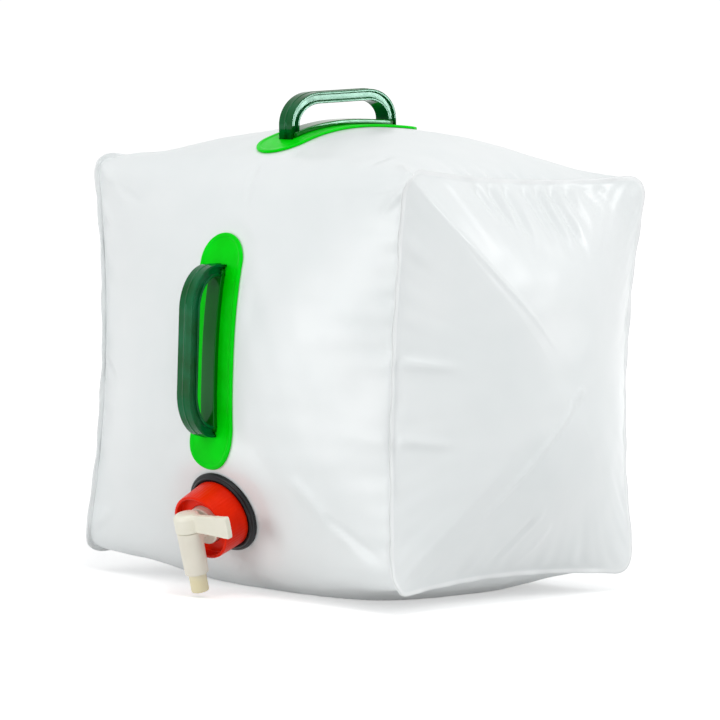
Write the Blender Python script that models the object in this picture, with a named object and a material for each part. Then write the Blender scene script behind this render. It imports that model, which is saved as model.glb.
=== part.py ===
"""Collapsible water carrier: a film bag with two carrying handles and a tap on a screw cap.

Metres, +Z up. The front panel, with a handle and the tap, faces -Y. The origin is the middle
of the flat patch that the bag rests on.
"""

import math

import bmesh
import bpy
from mathutils import Matrix, Vector

# Clearances shared by all pieces
GAP = 0.0003  # between pieces that touch
OVERRUN = 0.003  # how far a cutter runs past what it cuts
MERGE = 0.000003  # points this near each other are one

# Film bag, measured between the edges of its panels
BAG_WIDTH = 0.300
BAG_DEPTH = 0.246
BAG_HEIGHT = 0.276
CORNER_RADIUS = 0.015
FILM = 0.0005
SEAM_LIP = 0.0035
SIDE_BULGE = 0.036
FRONT_BULGE = 0.027
TOP_BULGE = 0.029
BASE_BULGE = 0.030
BASE_DROP = 0.015  # the flat base lies this far below the bottom edges
SEAM_WAIST = 0.010  # the side seams are drawn in this far across the bag
SEAM_PINCH = 0.004  # and this far from front and back
SEAM_LIFT = 0.006  # and this far from top and bottom
FRONT_FOLD_LIFT = 0.005  # the top's front fold lies this much higher than its back fold
FOLD_WAIST = 0.002  # the edges without a seam are drawn in this far
FULLNESS_SHARE = 2.5  # power in a panel's bulge: a higher one is flatter in the middle
BAG_CELL = 0.027  # size of the film's facets
FINE_CELL = 0.0105  # size of the facets round the tap
ARC_CELL = 0.0105  # size of the facets round the bag's corners
PANEL_RING_SHARES = (0.3, 0.58, 0.82)  # rings of a side panel between its middle and its edge

# Handles: a welded plate that follows the film, and a grip with its base bar on the plate
PLATE_LENGTH = 0.160
PLATE_WIDTH = 0.039
PLATE_THICKNESS = 0.0018
PLATE_CELL = 0.0095
PLATE_CLEARANCE = 0.005  # from the clamp ring up to the front plate
TOP_HANDLE_SHARE = 0.9  # of the front handle's length and standoff
TOP_HANDLE_ADVANCE = 0.033  # in front of the middle of the top panel
TOP_GRIP_TILT = math.radians(3.4)  # its front end is the lower one
GRIP_LENGTH = 0.118
GRIP_WIDTH = 0.0125
GRIP_THICKNESS = 0.008
GRIP_STANDOFF = 0.026  # from the plate to the outer face of the grip
GRIP_CORNER_RISE = 0.020
GRIP_CORNER_RUN = 0.027
GRIP_RIB = 0.0019
GRIP_CHANNEL = 0.0015
BASE_BAR = 0.003
CORNER_STEPS = 6
PLATE_COLUMN_SHARES = (-1, -0.5, 0, 0.5, 1)  # places across a plate, of its half width

# Neck: a flanged tube clamped through the film
TAP_HEIGHT = 0.0415  # of its middle above the bag's bottom edges
TAP_INSET = 0.003  # the film is drawn in this far there
TAP_TILT = math.radians(24)  # the tap faces down by this angle
SPOUT_LEAN = math.radians(16.5)  # the spout's lower end leans to the bag by this angle
FLAT_MARGIN = 0.0045  # flat film past the clamp ring
FLAT_BLEND = 0.028  # width over which the film leaves the flat
NECK_BORE_RADIUS = 0.0165
NECK_WALL = 0.0022
NECK_LENGTH = 0.0135  # in front of the film
NECK_FLANGE_RADIUS = 0.0270
NECK_FLANGE = 0.0025
GASKET = 0.0015
GASKET_MARGIN = 0.0005
CLAMP_RADIUS = 0.0295
CLAMP_THICKNESS = 0.003
CLAMP_BEAD_RADIUS = 0.0262
CLAMP_BEAD_WIDTH = 0.0020
CLAMP_BEAD_HEIGHT = 0.0012

# Thread of neck and cap
THREAD_PITCH = 0.004
THREAD_DEPTH = 0.0012
THREAD_WIDTH = 0.0015  # at the root
THREAD_CREST = 0.0008
THREAD_RUN = 0.0064  # from the start of the ridge to its end, along the axis
THREAD_TIP_SHARE = 0.25  # of the ridge's depth, at its very ends
THREAD_FADE_SHARE = 0.125  # of a turn, over which the ridge reaches its depth
THREAD_CLEARANCE = 0.0005
THREAD_SINK = 0.0005  # how far the ridge runs into its wall
THREAD_STEPS = 26  # in one turn

# Cap, with its open cup in front of the web
CAP_BASE_RADIUS = 0.0245
CAP_RIM_RADIUS = 0.0235
CAP_WEB = 0.0020
CUP_DEPTH = 0.0060
CUP_WALL = 0.0021

# Tap body and valve plug
WASHER = 0.0012
BODY_FLANGE = 0.0020
BARREL_RADIUS = 0.0135
BARREL_WALL = 0.0020
BARREL_RECESS = 0.0020  # the barrel ends this far behind the cup's rim
SLEEVE_TOP_RADIUS = 0.00875
SLEEVE_END_RADIUS = 0.00825
SLEEVE_STANDOFF = 0.0105  # of its axis in front of the cup's rim
SLEEVE_RISE = 0.0030  # above the tap's axis
SLEEVE_DROP = 0.0275  # below the tap's axis
DUCT_RADIUS = 0.0030
DUCT_DROP = 0.0034  # below the tap's axis
DUCT_BOSS_RADIUS = 0.0046
STEM_RADIUS = 0.00615
STEM_BORE_RADIUS = 0.0038
NOZZLE = 0.0130  # that shows below the sleeve
HUB_RADIUS = 0.0092
HUB_HEIGHT = 0.0130
HUB_DOME = 0.0030
LEVER_REACH = 0.0400
LEVER_THICKNESS = 0.0042
LEVER_WAIST = 0.0125
LEVER_END = 0.0155
LEVER_END_ROUND = 0.0035
ROUND_STEPS = 36  # facets of a turned piece
ROUND_ANGLE = math.radians(35)  # steeper edges of a hard piece stay sharp
FILM_ANGLE = math.radians(50)  # steeper edges of the film and its plates stay sharp

COLOURS = {
    "film": ((0.80, 0.83, 0.83, 1), 0.45),
    "plate_green": ((0.0, 0.62, 0.02, 1), 0.35),
    "grip_green": ((0.0, 0.13, 0.03, 1), 0.25),
    "black": ((0.015, 0.017, 0.02, 1), 0.4),
    "rubber": ((0.03, 0.03, 0.03, 1), 0.8),
    "red": ((0.85, 0.02, 0.0, 1), 0.3),
    "body_white": ((0.75, 0.73, 0.66, 1), 0.35),
    "ivory": ((0.84, 0.81, 0.68, 1), 0.35),
}

# Places that follow from the sizes above
MID_HEIGHT = BASE_DROP + BAG_HEIGHT / 2
SHOULDER_RADIUS = NECK_BORE_RADIUS + NECK_WALL + THREAD_DEPTH
SHOULDER_HOLE = SHOULDER_RADIUS + GAP
CLAMP_FRONT = GAP + CLAMP_THICKNESS
WASHER_BACK = NECK_LENGTH + GAP
BODY_BACK = WASHER_BACK + WASHER + GAP
WEB_BACK = BODY_BACK + BODY_FLANGE + GAP
WEB_FRONT = WEB_BACK + CAP_WEB
CUP_RIM = WEB_FRONT + CUP_DEPTH
BARREL_FRONT = CUP_RIM - BARREL_RECESS
SLEEVE_AXIS = CUP_RIM + SLEEVE_STANDOFF
SLEEVE_BORE_RADIUS = STEM_RADIUS + GAP
THREAD_START = CLAMP_FRONT + THREAD_PITCH / 2
RING_TOP = TAP_HEIGHT - BAG_HEIGHT / 2 + CLAMP_RADIUS * math.cos(TAP_TILT)
FRONT_HANDLE_RISE = RING_TOP + PLATE_CLEARANCE + PLATE_LENGTH / 2  # over the panel's middle


def clear_scene():
    for obj in list(bpy.data.objects):
        bpy.data.objects.remove(obj, do_unlink=True)


def material_of(name):
    found = bpy.data.materials.get(name)
    if found:
        return found
    colour, roughness = COLOURS[name]
    made = bpy.data.materials.new(name)
    made.use_nodes = True
    made.diffuse_color = colour
    shader = made.node_tree.nodes["Principled BSDF"]
    shader.inputs["Base Color"].default_value = colour
    shader.inputs["Roughness"].default_value = roughness
    shader.inputs["Metallic"].default_value = 0.0
    return made


def add_object(name, mesh, material, frame=None, parent=None):
    obj = bpy.data.objects.new(name, mesh)
    bpy.context.scene.collection.objects.link(obj)
    mesh.materials.append(material_of(material))
    obj.parent = parent
    if frame:
        obj.matrix_world = frame
    return obj


def mesh_from(name, bm, smooth_angle=ROUND_ANGLE):
    """A mesh with its faces pointing out and its round faces shaded smooth."""
    bmesh.ops.recalc_face_normals(bm, faces=bm.faces)
    mesh = bpy.data.meshes.new(name)
    bm.to_mesh(mesh)
    bm.free()
    mesh.shade_smooth()
    mesh.set_sharp_from_angle(angle=smooth_angle)
    return mesh


def combine(obj, tool, operation):
    """Cuts a helper solid from an object, or joins it to the object."""
    tool.hide_render = True
    tool.display_type = "WIRE"
    modifier = obj.modifiers.new(tool.name, "BOOLEAN")
    modifier.operation = operation
    modifier.solver = "EXACT"
    modifier.object = tool


def helper(name, mesh, frame):
    return add_object(name, mesh, "film", frame)


def turned_mesh(name, outline, steps=ROUND_STEPS):
    """A solid turned about local Z from a closed outline of (radius, height) points."""
    bm = bmesh.new()
    points = [bm.verts.new((radius, 0, height)) for radius, height in outline]
    edges = [bm.edges.new((a, b)) for a, b in zip(points, points[1:] + points[:1])]
    bmesh.ops.spin(
        bm,
        geom=points + edges,
        axis=(0, 0, 1),
        cent=(0, 0, 0),
        angle=2 * math.pi,
        steps=steps,
        use_merge=True,
    )
    bmesh.ops.remove_doubles(bm, verts=bm.verts, dist=MERGE)
    bmesh.ops.dissolve_degenerate(bm, edges=bm.edges, dist=MERGE)
    return mesh_from(name, bm)


def tube_outline(inner, outer, low, high):
    return [(inner, low), (outer, low), (outer, high), (inner, high)]


def rod_mesh(name, radius, low, high, end_radius=None):
    """A plain or tapered rod along local Z."""
    bm = bmesh.new()
    bmesh.ops.create_cone(
        bm,
        cap_ends=True,
        segments=ROUND_STEPS,
        radius1=radius,
        radius2=radius if end_radius is None else end_radius,
        depth=high - low,
    )
    bmesh.ops.translate(bm, verts=bm.verts, vec=(0, 0, (low + high) / 2))
    return mesh_from(name, bm)


def lofted_mesh(name, sections):
    """A solid through closed sections with the same number of points, capped at both ends."""
    bm = bmesh.new()
    rings = [[bm.verts.new(point) for point in section] for section in sections]
    for ring, after in zip(rings, rings[1:]):
        for i in range(len(ring)):
            j = (i + 1) % len(ring)
            bm.faces.new((ring[i], ring[j], after[j], after[i]))
    bm.faces.new(rings[0])
    bm.faces.new(rings[-1])
    return mesh_from(name, bm)


def spread(start, end, cell):
    """Even stops from start to end, about a cell apart, without the last."""
    steps = max(1, round(abs(end - start) / cell))
    return [start + (end - start) * i / steps for i in range(steps)]


# The inflated bag. A film point is named by three coordinates that run from -1 to 1 between
# opposite panels: across (left to right), deep (front to back) and high (base to top).


def arch(share):
    """1 in the middle of an edge, 0 at its ends."""
    return 1 - share * share


def dome(a, b):
    """1 in the middle of a panel, 0 along its edges."""
    return (1 - abs(a) ** FULLNESS_SHARE) * (1 - abs(b) ** FULLNESS_SHARE)


def front_lift(deep, high):
    """How far the top panel rises towards the front fold."""
    return FRONT_FOLD_LIFT * (1 - deep) / 2 * max(0, high)


def inflated_point(across, deep, high):
    x_waist = SEAM_WAIST * (arch(high) * deep**2 + arch(deep) * high**2)
    y_waist = SEAM_PINCH * arch(high) * across**2 + FOLD_WAIST * arch(across) * high**2
    z_waist = SEAM_LIFT * arch(deep) * across**2 + FOLD_WAIST * arch(across) * deep**2
    end_bulge = TOP_BULGE if high > 0 else BASE_BULGE
    x = across * (BAG_WIDTH / 2 + SIDE_BULGE * dome(deep, high) - x_waist)
    y = deep * (BAG_DEPTH / 2 + FRONT_BULGE * dome(across, high) - y_waist)
    z = high * (BAG_HEIGHT / 2 + end_bulge * dome(across, deep) - z_waist) + front_lift(deep, high)
    return Vector((x, y, max(0, MID_HEIGHT + z)))


def tap_frame():
    """At the tap's middle on the film: local Z points out of the bag and local Y up."""
    high = (TAP_HEIGHT - BAG_HEIGHT / 2) / (BAG_HEIGHT / 2 - FOLD_WAIST)
    on_film = inflated_point(0, -1, high)
    outward = Vector((0, -math.cos(TAP_TILT), -math.sin(TAP_TILT)))
    upward = Vector((0, -math.sin(TAP_TILT), math.cos(TAP_TILT)))
    rotation = Matrix((Vector((1, 0, 0)), upward, outward)).transposed().to_4x4()
    return Matrix.Translation(on_film - outward * TAP_INSET) @ rotation


TAP_FRAME = tap_frame()
TO_TAP = TAP_FRAME.inverted()


def flattened(point):
    """The film pressed flat behind the clamp ring."""
    local = TO_TAP @ point
    flat = CLAMP_RADIUS + FLAT_MARGIN
    past = (math.hypot(local.x, local.y) - flat) / FLAT_BLEND
    if past >= 1 or local.z < -FLAT_BLEND:
        return point
    past = max(0, past)
    local.z *= past * past * (3 - 2 * past)
    return TAP_FRAME @ local


def bag_point(across, deep, high):
    return flattened(inflated_point(across, deep, high))


def straight_stops():
    """Facet stops on the straight stretch of each panel edge: front, top, back and base."""
    high = BAG_HEIGHT / 2 - CORNER_RADIUS
    deep = BAG_DEPTH / 2 - CORNER_RADIUS
    fine_end = TAP_HEIGHT + CLAMP_RADIUS + FLAT_MARGIN - BAG_HEIGHT / 2
    front = spread(-high, fine_end, FINE_CELL) + spread(fine_end, high, BAG_CELL)
    yield [(-BAG_DEPTH / 2, z) for z in front], (-1, 0)
    yield [(y, BAG_HEIGHT / 2) for y in spread(-deep, deep, BAG_CELL)], (0, 1)
    yield [(BAG_DEPTH / 2, z) for z in spread(high, -high, BAG_CELL)], (1, 0)
    yield [(y, -BAG_HEIGHT / 2) for y in spread(deep, -deep, BAG_CELL)], (0, -1)


def outline_stops():
    """Round the bag, seen from the side: (deep, high, outward direction) at each stop."""
    stops = []
    for straight, (out_y, out_z) in straight_stops():
        stops += [(y, z, Vector((0, out_y, out_z))) for y, z in straight]
        corner_y = (out_y + out_z) * (BAG_DEPTH / 2 - CORNER_RADIUS)
        corner_z = (out_z - out_y) * (BAG_HEIGHT / 2 - CORNER_RADIUS)
        turn = math.atan2(out_z, out_y)
        for bend in spread(0, math.pi / 2, ARC_CELL / CORNER_RADIUS):
            out = Vector((0, math.cos(turn - bend), math.sin(turn - bend)))
            y = corner_y + CORNER_RADIUS * out.y
            z = corner_z + CORNER_RADIUS * out.z
            stops.append((y, z, out))
    return [(y / (BAG_DEPTH / 2), z / (BAG_HEIGHT / 2), out) for y, z, out in stops]


def across_stops():
    """Columns of the band from the left seam to the right one, from -1 to 1."""
    half = BAG_WIDTH / 2
    fine = CLAMP_RADIUS + FLAT_MARGIN
    right = spread(0, fine, FINE_CELL)[1:] + spread(fine, half, BAG_CELL) + [half]
    return [-x / half for x in reversed(right)] + [0] + [x / half for x in right]


def film_shell(obj):
    """Gives the outer surface of a film piece its thickness, towards the inside."""
    modifier = obj.modifiers.new("film", "SOLIDIFY")
    modifier.thickness = FILM
    modifier.offset = -1
    modifier.use_even_offset = True


def outward_surface(name, bm, inside):
    """A mesh whose open surface faces away from the inside point."""
    bmesh.ops.recalc_face_normals(bm, faces=bm.faces)
    faces_out = sum(f.calc_area() * f.normal.dot(f.calc_center_median() - inside) for f in bm.faces)
    if faces_out < 0:
        bmesh.ops.reverse_faces(bm, faces=bm.faces)
    mesh = bpy.data.meshes.new(name)
    bm.to_mesh(mesh)
    bm.free()
    mesh.shade_smooth()
    mesh.set_sharp_from_angle(angle=FILM_ANGLE)
    return mesh


def build_body_band():
    """One strip of film that makes the front, top, back and base, with a lip at each seam."""
    bm = bmesh.new()
    rows = []
    for deep, high, out in outline_stops():
        row = [bag_point(across, deep, high) for across in across_stops()]
        for end, side in ((0, -1), (-1, 1)):
            row[end].x -= side * (GAP / 2 + FILM)
        lips = [row[0] + out * SEAM_LIP, row[-1] + out * SEAM_LIP]
        rows.append([bm.verts.new(point) for point in [lips[0]] + row + [lips[1]]])
    for row, after in zip(rows, rows[1:] + rows[:1]):
        for i in range(len(row) - 1):
            bm.faces.new((row[i], row[i + 1], after[i + 1], after[i]))
    mesh = outward_surface("body_band", bm, Vector((0, 0, MID_HEIGHT)))
    band = add_object("body_band", mesh, "film")
    film_shell(band)
    drill = rod_mesh("neck_hole_drill", SHOULDER_HOLE, -OVERRUN, OVERRUN)
    combine(band, helper("neck_hole_drill", drill, TAP_FRAME), "DIFFERENCE")


def build_side_panel(name, side):
    """A bulged panel whose lip is welded to the band's."""
    bm = bmesh.new()
    stops = outline_stops()
    shift = Vector((side * (GAP / 2 + FILM), 0, 0))
    middle = bm.verts.new(bag_point(side, 0, 0) + shift)
    rings = []
    for share in PANEL_RING_SHARES + (1,):
        ring = [bag_point(side, deep * share, high * share) + shift for deep, high, out in stops]
        rings.append([bm.verts.new(point) for point in ring])
    lip = [vert.co + out * SEAM_LIP for vert, (deep, high, out) in zip(rings[-1], stops)]
    rings.append([bm.verts.new(point) for point in lip])
    for i in range(len(stops)):
        j = (i + 1) % len(stops)
        bm.faces.new((middle, rings[0][i], rings[0][j]))
        for ring, after in zip(rings, rings[1:]):
            bm.faces.new((ring[i], ring[j], after[j], after[i]))
    mesh = outward_surface(name, bm, Vector((0, 0, MID_HEIGHT)))
    seam = bpy.data.objects.new(f"{name}_seam", None)
    bpy.context.scene.collection.objects.link(seam)
    seam.location = (side * BAG_WIDTH / 2, 0, MID_HEIGHT)
    bpy.context.view_layer.update()
    film_shell(add_object(name, mesh, "film", Matrix.Identity(4), seam))


# Handles. A point of a handle is named by its place across and along the handle and its
# height over the film.


def front_film(across, along):
    """The film of the front panel, along measured upwards from the panel's middle."""
    high = along / (BAG_HEIGHT / 2)
    share = across / (BAG_WIDTH / 2 - SEAM_WAIST * arch(high))
    fold = BAG_HEIGHT / 2 - FOLD_WAIST * arch(share) + (FRONT_FOLD_LIFT if along > 0 else 0)
    return bag_point(share, -1, along / fold)


def top_film(across, along):
    """The film of the top panel, along measured backwards from the panel's middle."""
    deep = along / (BAG_DEPTH / 2)
    share = across / (BAG_WIDTH / 2 - SEAM_WAIST * arch(deep))
    return bag_point(share, along / (BAG_DEPTH / 2 - FOLD_WAIST * arch(share)), 1)


def over_film(film, across, along, height):
    """A point at a height over the film, square to it."""
    step = PLATE_CELL / 2
    run = film(across, along + step) - film(across, along - step)
    width = film(across + step, along) - film(across - step, along)
    return film(across, along) + width.cross(run).normalized() * height


def plate_rows(size):
    """Stops along a plate with round ends: (along, half width)."""
    radius = PLATE_WIDTH / 2
    straight = size * PLATE_LENGTH / 2 - radius
    end = [math.pi / 2 * i / CORNER_STEPS for i in range(1, CORNER_STEPS)]
    far = [(straight + radius * math.sin(a), radius * math.cos(a)) for a in end]
    near = [(-along, half) for along, half in reversed(far)]
    middle = [(along, radius) for along in spread(-straight, straight, PLATE_CELL)]
    return near + middle + [(straight, radius)] + far


def build_handle_plate(name, film, middle, size):
    """A thin plate with round ends, lying on the film."""
    bm = bmesh.new()
    sides = []
    for height in (GAP, GAP + PLATE_THICKNESS):
        ends = [
            bm.verts.new(over_film(film, 0, middle + way * size * PLATE_LENGTH / 2, height))
            for way in (-1, 1)
        ]
        rows = [
            [
                bm.verts.new(over_film(film, half * share, middle + along, height))
                for share in PLATE_COLUMN_SHARES
            ]
            for along, half in plate_rows(size)
        ]
        for row, after in zip(rows, rows[1:]):
            for i in range(len(row) - 1):
                bm.faces.new((row[i], row[i + 1], after[i + 1], after[i]))
        for end, row in zip(ends, (rows[0], rows[-1])):
            for i in range(len(row) - 1):
                bm.faces.new((end, row[i], row[i + 1]))
        right = [row[-1] for row in rows]
        left = [row[0] for row in rows]
        sides.append([ends[0]] + right + [ends[1]] + left[::-1])
    under, over = sides
    for i in range(len(under)):
        j = (i + 1) % len(under)
        bm.faces.new((under[i], under[j], over[j], over[i]))
    add_object(name, mesh_from(name, bm, FILM_ANGLE), "plate_green")


def grip_section():
    """Across and outward places round the grip: ribs at the edges, a channel on each side."""
    wide = GRIP_WIDTH / 2
    thick = GRIP_THICKNESS / 2
    web = wide - GRIP_CHANNEL
    rib = thick - GRIP_RIB
    half = [(wide, -thick), (wide, -rib), (web, -rib), (web, rib), (wide, rib), (wide, thick)]
    return half + [(-across, -outward) for across, outward in half]


def grip_path(size):
    """Middle line of the grip over its frame: (along, up, outward direction) at each stop.

    The feet have no height of their own, because they follow the film.
    """
    reach = (size * GRIP_LENGTH - GRIP_THICKNESS) / 2
    top = size * GRIP_STANDOFF - GRIP_THICKNESS / 2
    legs = []
    for way in (-1, 1):
        leg = [(way * reach, None, (way, 0))]
        for i in range(CORNER_STEPS + 1):
            turn = math.pi / 2 * i / CORNER_STEPS
            along = way * (reach - size * GRIP_CORNER_RUN * (1 - math.cos(turn)))
            up = top - size * GRIP_CORNER_RISE * (1 - math.sin(turn))
            out = Vector((GRIP_CORNER_RISE * math.cos(turn), GRIP_CORNER_RUN * math.sin(turn)))
            out.normalize()
            leg.append((along, up, (way * out.x, out.y)))
        legs.append(leg)
    return legs[0] + legs[1][::-1]


def handle_frame(film, middle, run):
    """At the plate's middle, with local Y along the grip and local Z out of the bag."""
    outward = Vector((1, 0, 0)).cross(run)
    rotation = Matrix((Vector((1, 0, 0)), run, outward)).transposed().to_4x4()
    origin = over_film(film, 0, middle, GAP + PLATE_THICKNESS)
    return Matrix.Translation(origin) @ rotation


def base_bar_mesh(name, film, middle, size, frame):
    """The strip between the grip's feet, lying on the plate."""
    low = 2 * GAP + PLATE_THICKNESS
    wide = GRIP_WIDTH / 2
    to_frame = frame.inverted()
    sections = []
    half = size * GRIP_LENGTH / 2
    for along in spread(-half, half, PLATE_CELL) + [half]:
        corners = ((-wide, low), (wide, low), (wide, low + BASE_BAR), (-wide, low + BASE_BAR))
        points = [over_film(film, across, middle + along, up) for across, up in corners]
        sections.append([to_frame @ point for point in points])
    return lofted_mesh(name, sections)


def build_grip(name, film, middle, run, size):
    """The grip, an arched bar with a channel on each side, and the base bar it stands on."""
    frame = handle_frame(film, middle, run)
    to_frame = frame.inverted()
    seat = 2 * GAP + PLATE_THICKNESS + BASE_BAR / 2
    sections = []
    for along, up, out in grip_path(size):
        section = []
        for across, off in grip_section():
            place = along + out[0] * off
            on_bar = to_frame @ over_film(film, across, middle + place, seat)
            height = on_bar.z if up is None else up + out[1] * off
            section.append((across, place, height))
        sections.append(section)
    grip = add_object(name, lofted_mesh(name, sections), "grip_green", frame)
    bar = base_bar_mesh(f"{name}_base_bar", film, middle, size, frame)
    combine(grip, helper(f"{name}_base_bar", bar, frame), "UNION")


# Neck, cap and tap, in the tap's own frame: local Z is 0 on the film and points out.


def thread_mesh(name, wall_radius, depth, start):
    """A helical ridge on a wall: depth is positive outwards and negative inwards."""
    sink = math.copysign(THREAD_SINK, depth)
    steps = round(THREAD_RUN / THREAD_PITCH * THREAD_STEPS)
    sections = []
    for i in range(steps + 1):
        turn = 2 * math.pi * i / THREAD_STEPS
        middle = start + THREAD_PITCH * i / THREAD_STEPS
        from_end = min(i, steps - i) / THREAD_STEPS
        fade = min(1, THREAD_TIP_SHARE + from_end / THREAD_FADE_SHARE)
        corners = (
            (wall_radius - sink, THREAD_WIDTH / 2),
            (wall_radius + depth * fade, THREAD_CREST / 2),
            (wall_radius + depth * fade, -THREAD_CREST / 2),
            (wall_radius - sink, -THREAD_WIDTH / 2),
        )
        sections.append(
            [(r * math.cos(turn), r * math.sin(turn), middle + z) for r, z in corners]
        )
    return lofted_mesh(name, sections)


def build_neck_fitting():
    """The threaded tube and the flange that holds it inside the film."""
    root = SHOULDER_RADIUS - THREAD_DEPTH
    flange_front = -FILM - GAP - GASKET - GAP
    outline = [
        (NECK_BORE_RADIUS, flange_front - NECK_FLANGE),
        (NECK_FLANGE_RADIUS, flange_front - NECK_FLANGE),
        (NECK_FLANGE_RADIUS, flange_front),
        (SHOULDER_RADIUS, flange_front),
        (SHOULDER_RADIUS, CLAMP_FRONT),
        (root, CLAMP_FRONT),
        (root, NECK_LENGTH),
        (NECK_BORE_RADIUS, NECK_LENGTH),
    ]
    neck = add_object("neck_fitting", turned_mesh("neck_fitting", outline), "black", TAP_FRAME)
    ridge = thread_mesh("neck_thread", root, THREAD_DEPTH, THREAD_START)
    combine(neck, helper("neck_thread", ridge, TAP_FRAME), "UNION")


def build_neck_gasket():
    back = -FILM - GAP - GASKET
    outer = NECK_FLANGE_RADIUS - GASKET_MARGIN
    outline = tube_outline(SHOULDER_HOLE, outer, back, back + GASKET)
    add_object("neck_gasket", turned_mesh("neck_gasket", outline), "rubber", TAP_FRAME)


def build_clamp_ring():
    """The outer disc that presses the film on the gasket, with a raised bead."""
    inner_bead = CLAMP_BEAD_RADIUS - CLAMP_BEAD_WIDTH / 2
    outer_bead = CLAMP_BEAD_RADIUS + CLAMP_BEAD_WIDTH / 2
    crown = CLAMP_FRONT + CLAMP_BEAD_HEIGHT
    ease = CLAMP_BEAD_WIDTH / 4
    outline = [
        (SHOULDER_HOLE, GAP),
        (CLAMP_RADIUS, GAP),
        (CLAMP_RADIUS, CLAMP_FRONT - CLAMP_THICKNESS / 3),
        (CLAMP_RADIUS - CLAMP_THICKNESS / 3, CLAMP_FRONT),
        (outer_bead, CLAMP_FRONT),
        (outer_bead - ease, crown),
        (inner_bead + ease, crown),
        (inner_bead, CLAMP_FRONT),
        (SHOULDER_HOLE, CLAMP_FRONT),
    ]
    add_object("clamp_ring", turned_mesh("clamp_ring", outline), "black", TAP_FRAME)


def build_screw_cap(carrier):
    """The cap's threaded skirt, the web that holds the tap body, and the open cup in front."""
    low = CLAMP_FRONT + GAP
    bore = SHOULDER_RADIUS + THREAD_CLEARANCE
    outline = [
        (bore, low),
        (CAP_BASE_RADIUS, low),
        (CAP_RIM_RADIUS, CUP_RIM),
        (CAP_RIM_RADIUS - CUP_WALL, CUP_RIM),
        (CAP_RIM_RADIUS - CUP_WALL, WEB_FRONT),
        (BARREL_RADIUS + GAP, WEB_FRONT),
        (BARREL_RADIUS + GAP, WEB_BACK),
        (bore, WEB_BACK),
    ]
    cap = add_object("screw_cap", turned_mesh("screw_cap", outline), "red", TAP_FRAME, carrier)
    start = THREAD_START + THREAD_PITCH / 2
    ridge = thread_mesh("cap_thread", bore, -THREAD_DEPTH, start)
    combine(cap, helper("cap_thread", ridge, TAP_FRAME), "UNION")


def build_cap_washer(carrier):
    outer = SHOULDER_RADIUS - THREAD_DEPTH
    outline = tube_outline(BARREL_RADIUS, outer, WASHER_BACK, WASHER_BACK + WASHER)
    mesh = turned_mesh("cap_washer", outline)
    add_object("cap_washer", mesh, "rubber", TAP_FRAME, carrier)


def sleeve_frame():
    """Where the plug's axis crosses the tap's: local Z runs up the plug, local X along the lever."""
    splay = TAP_TILT - SPOUT_LEAN
    at_axis = Matrix.Translation((0, 0, SLEEVE_AXIS))
    return TAP_FRAME @ at_axis @ Matrix.Rotation(-math.pi / 2 - splay, 4, "X")


def build_tap_body(carrier):
    """The barrel that the cap holds, and the sleeve across its end for the valve plug."""
    hollow = BARREL_RADIUS - BARREL_WALL
    bottom = BARREL_FRONT - BARREL_WALL
    outline = [
        (hollow, BODY_BACK),
        (SHOULDER_RADIUS - THREAD_DEPTH, BODY_BACK),
        (SHOULDER_RADIUS - THREAD_DEPTH, BODY_BACK + BODY_FLANGE),
        (BARREL_RADIUS, BODY_BACK + BODY_FLANGE),
        (BARREL_RADIUS, BARREL_FRONT),
        (0, BARREL_FRONT),
        (0, bottom),
        (hollow, bottom),
    ]
    body = add_object("tap_body", turned_mesh("tap_body", outline), "body_white", TAP_FRAME, carrier)
    across = sleeve_frame()
    duct = TAP_FRAME @ Matrix.Translation((0, -DUCT_DROP, 0))
    boss = rod_mesh("duct_boss", DUCT_BOSS_RADIUS, BARREL_FRONT - BARREL_WALL / 2, SLEEVE_AXIS)
    sleeve = rod_mesh(
        "sleeve", SLEEVE_END_RADIUS, -SLEEVE_DROP, SLEEVE_RISE - GAP, SLEEVE_TOP_RADIUS
    )
    bore = rod_mesh("sleeve_bore", SLEEVE_BORE_RADIUS, -SLEEVE_DROP - OVERRUN, SLEEVE_RISE + OVERRUN)
    passage = rod_mesh("duct_drill", DUCT_RADIUS, bottom - OVERRUN, SLEEVE_AXIS)
    combine(body, helper("duct_boss", boss, duct), "UNION")
    combine(body, helper("sleeve", sleeve, across), "UNION")
    combine(body, helper("sleeve_bore", bore, across), "DIFFERENCE")
    combine(body, helper("duct_drill", passage, duct), "DIFFERENCE")


def lever_mesh():
    """The blade of the lever, drawn in at its waist, in the plug's frame."""
    middle = SLEEVE_RISE + LEVER_WAIST / 2
    waist = LEVER_WAIST / 2
    end = LEVER_END / 2
    corner = LEVER_END_ROUND
    outline = [(0, -waist), (LEVER_REACH / 2, -waist)]
    for way in (-1, 1):
        for i in range(CORNER_STEPS // 2 + 1):
            turn = math.pi / 2 * i / (CORNER_STEPS // 2)
            turn = turn if way > 0 else math.pi / 2 - turn
            along = LEVER_REACH - corner + corner * math.cos(turn)
            outline.append((along, way * (end - corner + corner * math.sin(turn))))
    outline += [(LEVER_REACH / 2, waist), (0, waist)]
    sections = [
        [(along, side * LEVER_THICKNESS / 2, middle + up) for along, up in outline]
        for side in (-1, 1)
    ]
    return lofted_mesh("lever", sections)


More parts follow.
